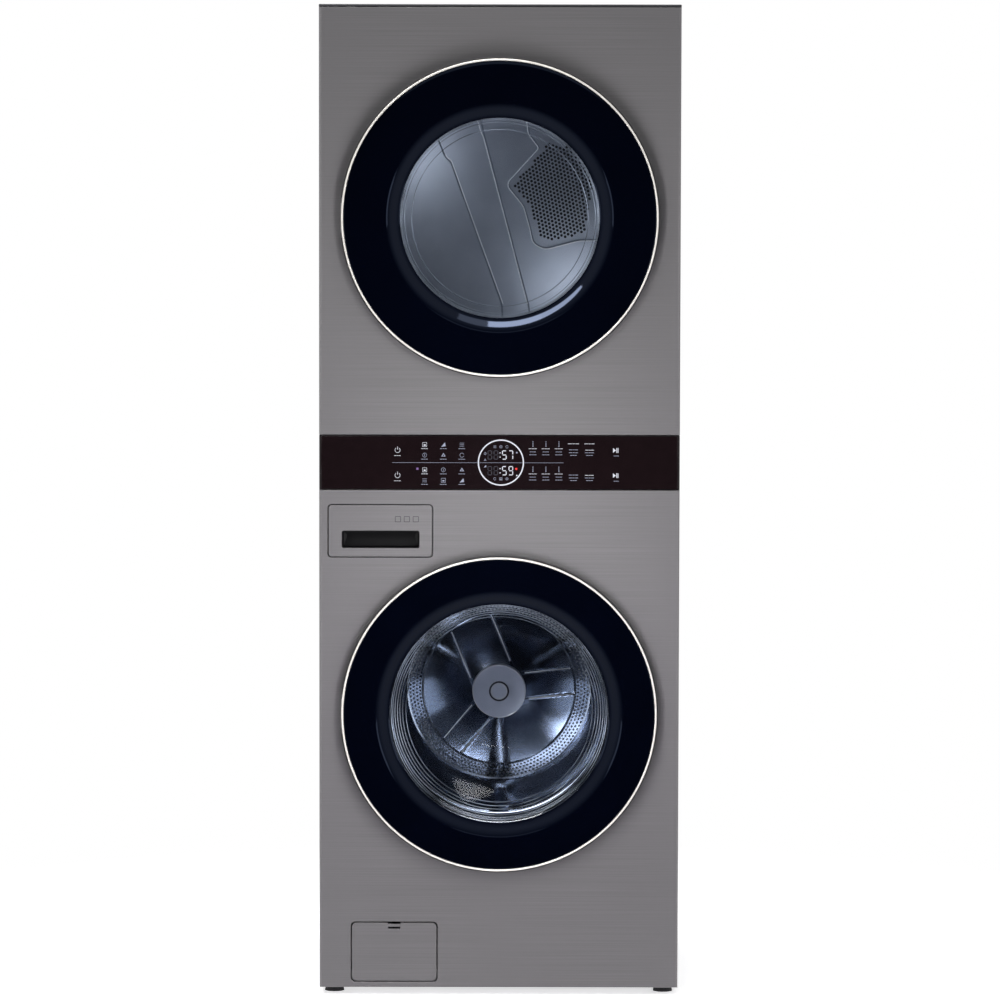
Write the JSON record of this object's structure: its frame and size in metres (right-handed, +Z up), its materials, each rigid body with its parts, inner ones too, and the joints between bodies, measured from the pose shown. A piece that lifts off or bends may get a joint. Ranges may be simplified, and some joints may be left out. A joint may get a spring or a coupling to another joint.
{
  "type": "washer dryer stack",
  "caption": "Front-loading washer with a dryer above it in one tall cabinet, round glass doors, a touch control band between them, a detergent drawer and a pump door.",
  "frame": {"origin": "middle of the bounding box at floor level", "axes": "+Z up, -Y out of the doors, +X to the right seen from the front"},
  "size_m": [0.686, 0.772, 1.889],
  "materials": {
    "steel_front": "satin",
    "steel_side": "satin",
    "top_paint": "satin",
    "galvanised": "satin",
    "black_glass": "gloss",
    "clear_glass": "gloss",
    "door_trim": "polished",
    "black_plastic": "satin",
    "grey_plastic": "matte",
    "drum_steel": "polished",
    "dryer_steel": "satin",
    "cast_aluminium": "matte",
    "turned_steel": "satin",
    "foot_rubber": "matte",
    "belt_rubber": "matte",
    "bellows_rubber": "matte"
  },
  "bodies": {
    "cabinet": {"washer_front_panel": "steel_front", "dryer_front_panel": "steel_front", "side_panel_left": "steel_side", "side_panel_right": "steel_side", "top_cover": "top_paint", "base_frame": "galvanised", "dryer_deck": "galvanised", "rear_panel": "galvanised", "terminal_cover": "galvanised", "front_bulkhead": "galvanised", "rear_bulkhead": "galvanised", "exhaust_duct": "galvanised", "heater_housing": "galvanised", "washer_hinge_bracket": "galvanised", "dryer_hinge_bracket": "galvanised", "control_panel": "black_glass", "control_housing": "black_plastic", "washer_door_lock": "black_plastic", "drain_pump": "black_plastic", "damper_left": "black_plastic", "damper_right": "black_plastic", "dispenser_housing": "grey_plastic", "inlet_valve": "grey_plastic", "blower_housing": "grey_plastic", "dryer_motor": "cast_aluminium", "suspension_spring_left": "turned_steel", "suspension_spring_right": "turned_steel", "foot_front_left": "foot_rubber", "foot_front_right": "foot_rubber", "foot_rear_left": "foot_rubber", "foot_rear_right": "foot_rubber", "drive_belt": "belt_rubber", "door_gasket": "bellows_rubber"},
    "washer_door": {"washer_door_frame": "black_plastic", "washer_door_trim": "door_trim", "washer_door_glass": "black_glass", "washer_door_bowl": "clear_glass"},
    "dryer_door": {"dryer_door_frame": "black_plastic", "dryer_door_trim": "door_trim", "dryer_door_glass": "black_glass", "dryer_door_bowl": "clear_glass"},
    "tub": {"tub_front": "grey_plastic", "tub_rear": "grey_plastic", "motor_stator": "cast_aluminium", "damper_rod_left": "turned_steel", "damper_rod_right": "turned_steel"},
    "washer_drum": {"washer_drum": "drum_steel", "drum_spider": "cast_aluminium", "motor_rotor": "turned_steel"},
    "dryer_drum": {"dryer_drum": "dryer_steel"},
    "roller_left": {"support_roller_left": "black_plastic"},
    "roller_right": {"support_roller_right": "black_plastic"},
    "motor_shaft": {"motor_shaft": "turned_steel", "blower_wheel": "black_plastic"},
    "idler": {"idler_pulley": "black_plastic"},
    "drawer": {"drawer_front": "steel_front", "drawer_tray": "grey_plastic"},
    "service_door": {"service_door": "steel_front"},
    "pump_filter": {"pump_filter": "grey_plastic"},
    "lint_filter": {"lint_filter": "grey_plastic"}
  },
  "joints": [
    {"name": "washer_door_hinge", "type": "hinge", "parent": "cabinet", "child": "washer_door", "pos_m": [-0.292, -0.364, 0.544], "axis": [0, 0, -1], "range_deg": [0, 115]},
    {"name": "dryer_door_hinge", "type": "hinge", "parent": "cabinet", "child": "dryer_door", "pos_m": [-0.292, -0.364, 1.486], "axis": [0, 0, -1], "range_deg": [0, 115]},
    {"name": "drawer_slide", "type": "slide", "parent": "cabinet", "child": "drawer", "axis": [0, -1, 0], "range_m": [0, 0.22]},
    {"name": "service_door_hinge", "type": "hinge", "parent": "cabinet", "child": "service_door", "pos_m": [-0.2, -0.341, 0.03], "axis": [1, 0, 0], "range_deg": [0, 95]},
    {"name": "pump_filter_turn", "type": "hinge", "parent": "cabinet", "child": "pump_filter", "pos_m": [-0.225, -0.33, 0.088], "axis": [0, -1, 0], "range_deg": [0, 180]},
    {"name": "tub_float", "type": "slide", "parent": "cabinet", "child": "tub", "axis": [0, 0, 1], "range_m": [-0.015, 0.01], "stiffness_N_per_m": 9000, "springref_m": 0.0303, "deforming": ["suspension_spring_left", "suspension_spring_right", "door_gasket"]},
    {"name": "washer_drum_spin", "type": "hinge", "parent": "tub", "child": "washer_drum", "pos_m": [0, -0.06, 0.544], "axis": [0, -1, 0], "continuous": true},
    {"name": "dryer_drum_spin", "type": "hinge", "parent": "cabinet", "child": "dryer_drum", "pos_m": [0, 0, 1.486], "axis": [0, -1, 0], "continuous": true},
    {"name": "roller_left_spin", "type": "hinge", "parent": "cabinet", "child": "roller_left", "pos_m": [-0.20448, 0.263, 1.19397], "axis": [0, -1, 0], "continuous": true},
    {"name": "roller_right_spin", "type": "hinge", "parent": "cabinet", "child": "roller_right", "pos_m": [0.20448, 0.263, 1.19397], "axis": [0, -1, 0], "continuous": true},
    {"name": "motor_spin", "type": "hinge", "parent": "cabinet", "child": "motor_shaft", "pos_m": [-0.262, 0, 1.1112], "axis": [0, -1, 0], "continuous": true},
    {"name": "idler_spin", "type": "hinge", "parent": "cabinet", "child": "idler", "pos_m": [-0.13943, 0.066, 1.10452], "axis": [0, -1, 0], "continuous": true},
    {"name": "lint_filter_lift", "type": "slide", "parent": "cabinet", "child": "lint_filter", "axis": [0, 0, 1], "range_m": [0, 0.14]}
  ],
  "couplings": [
    {"joint": "motor_spin", "follows": "dryer_drum_spin", "ratio": 26.708},
    {"joint": "idler_spin", "follows": "dryer_drum_spin", "ratio": -17.806},
    {"joint": "roller_left_spin", "follows": "dryer_drum_spin", "ratio": -9.1571},
    {"joint": "roller_right_spin", "follows": "dryer_drum_spin", "ratio": -9.1571}
  ]
}
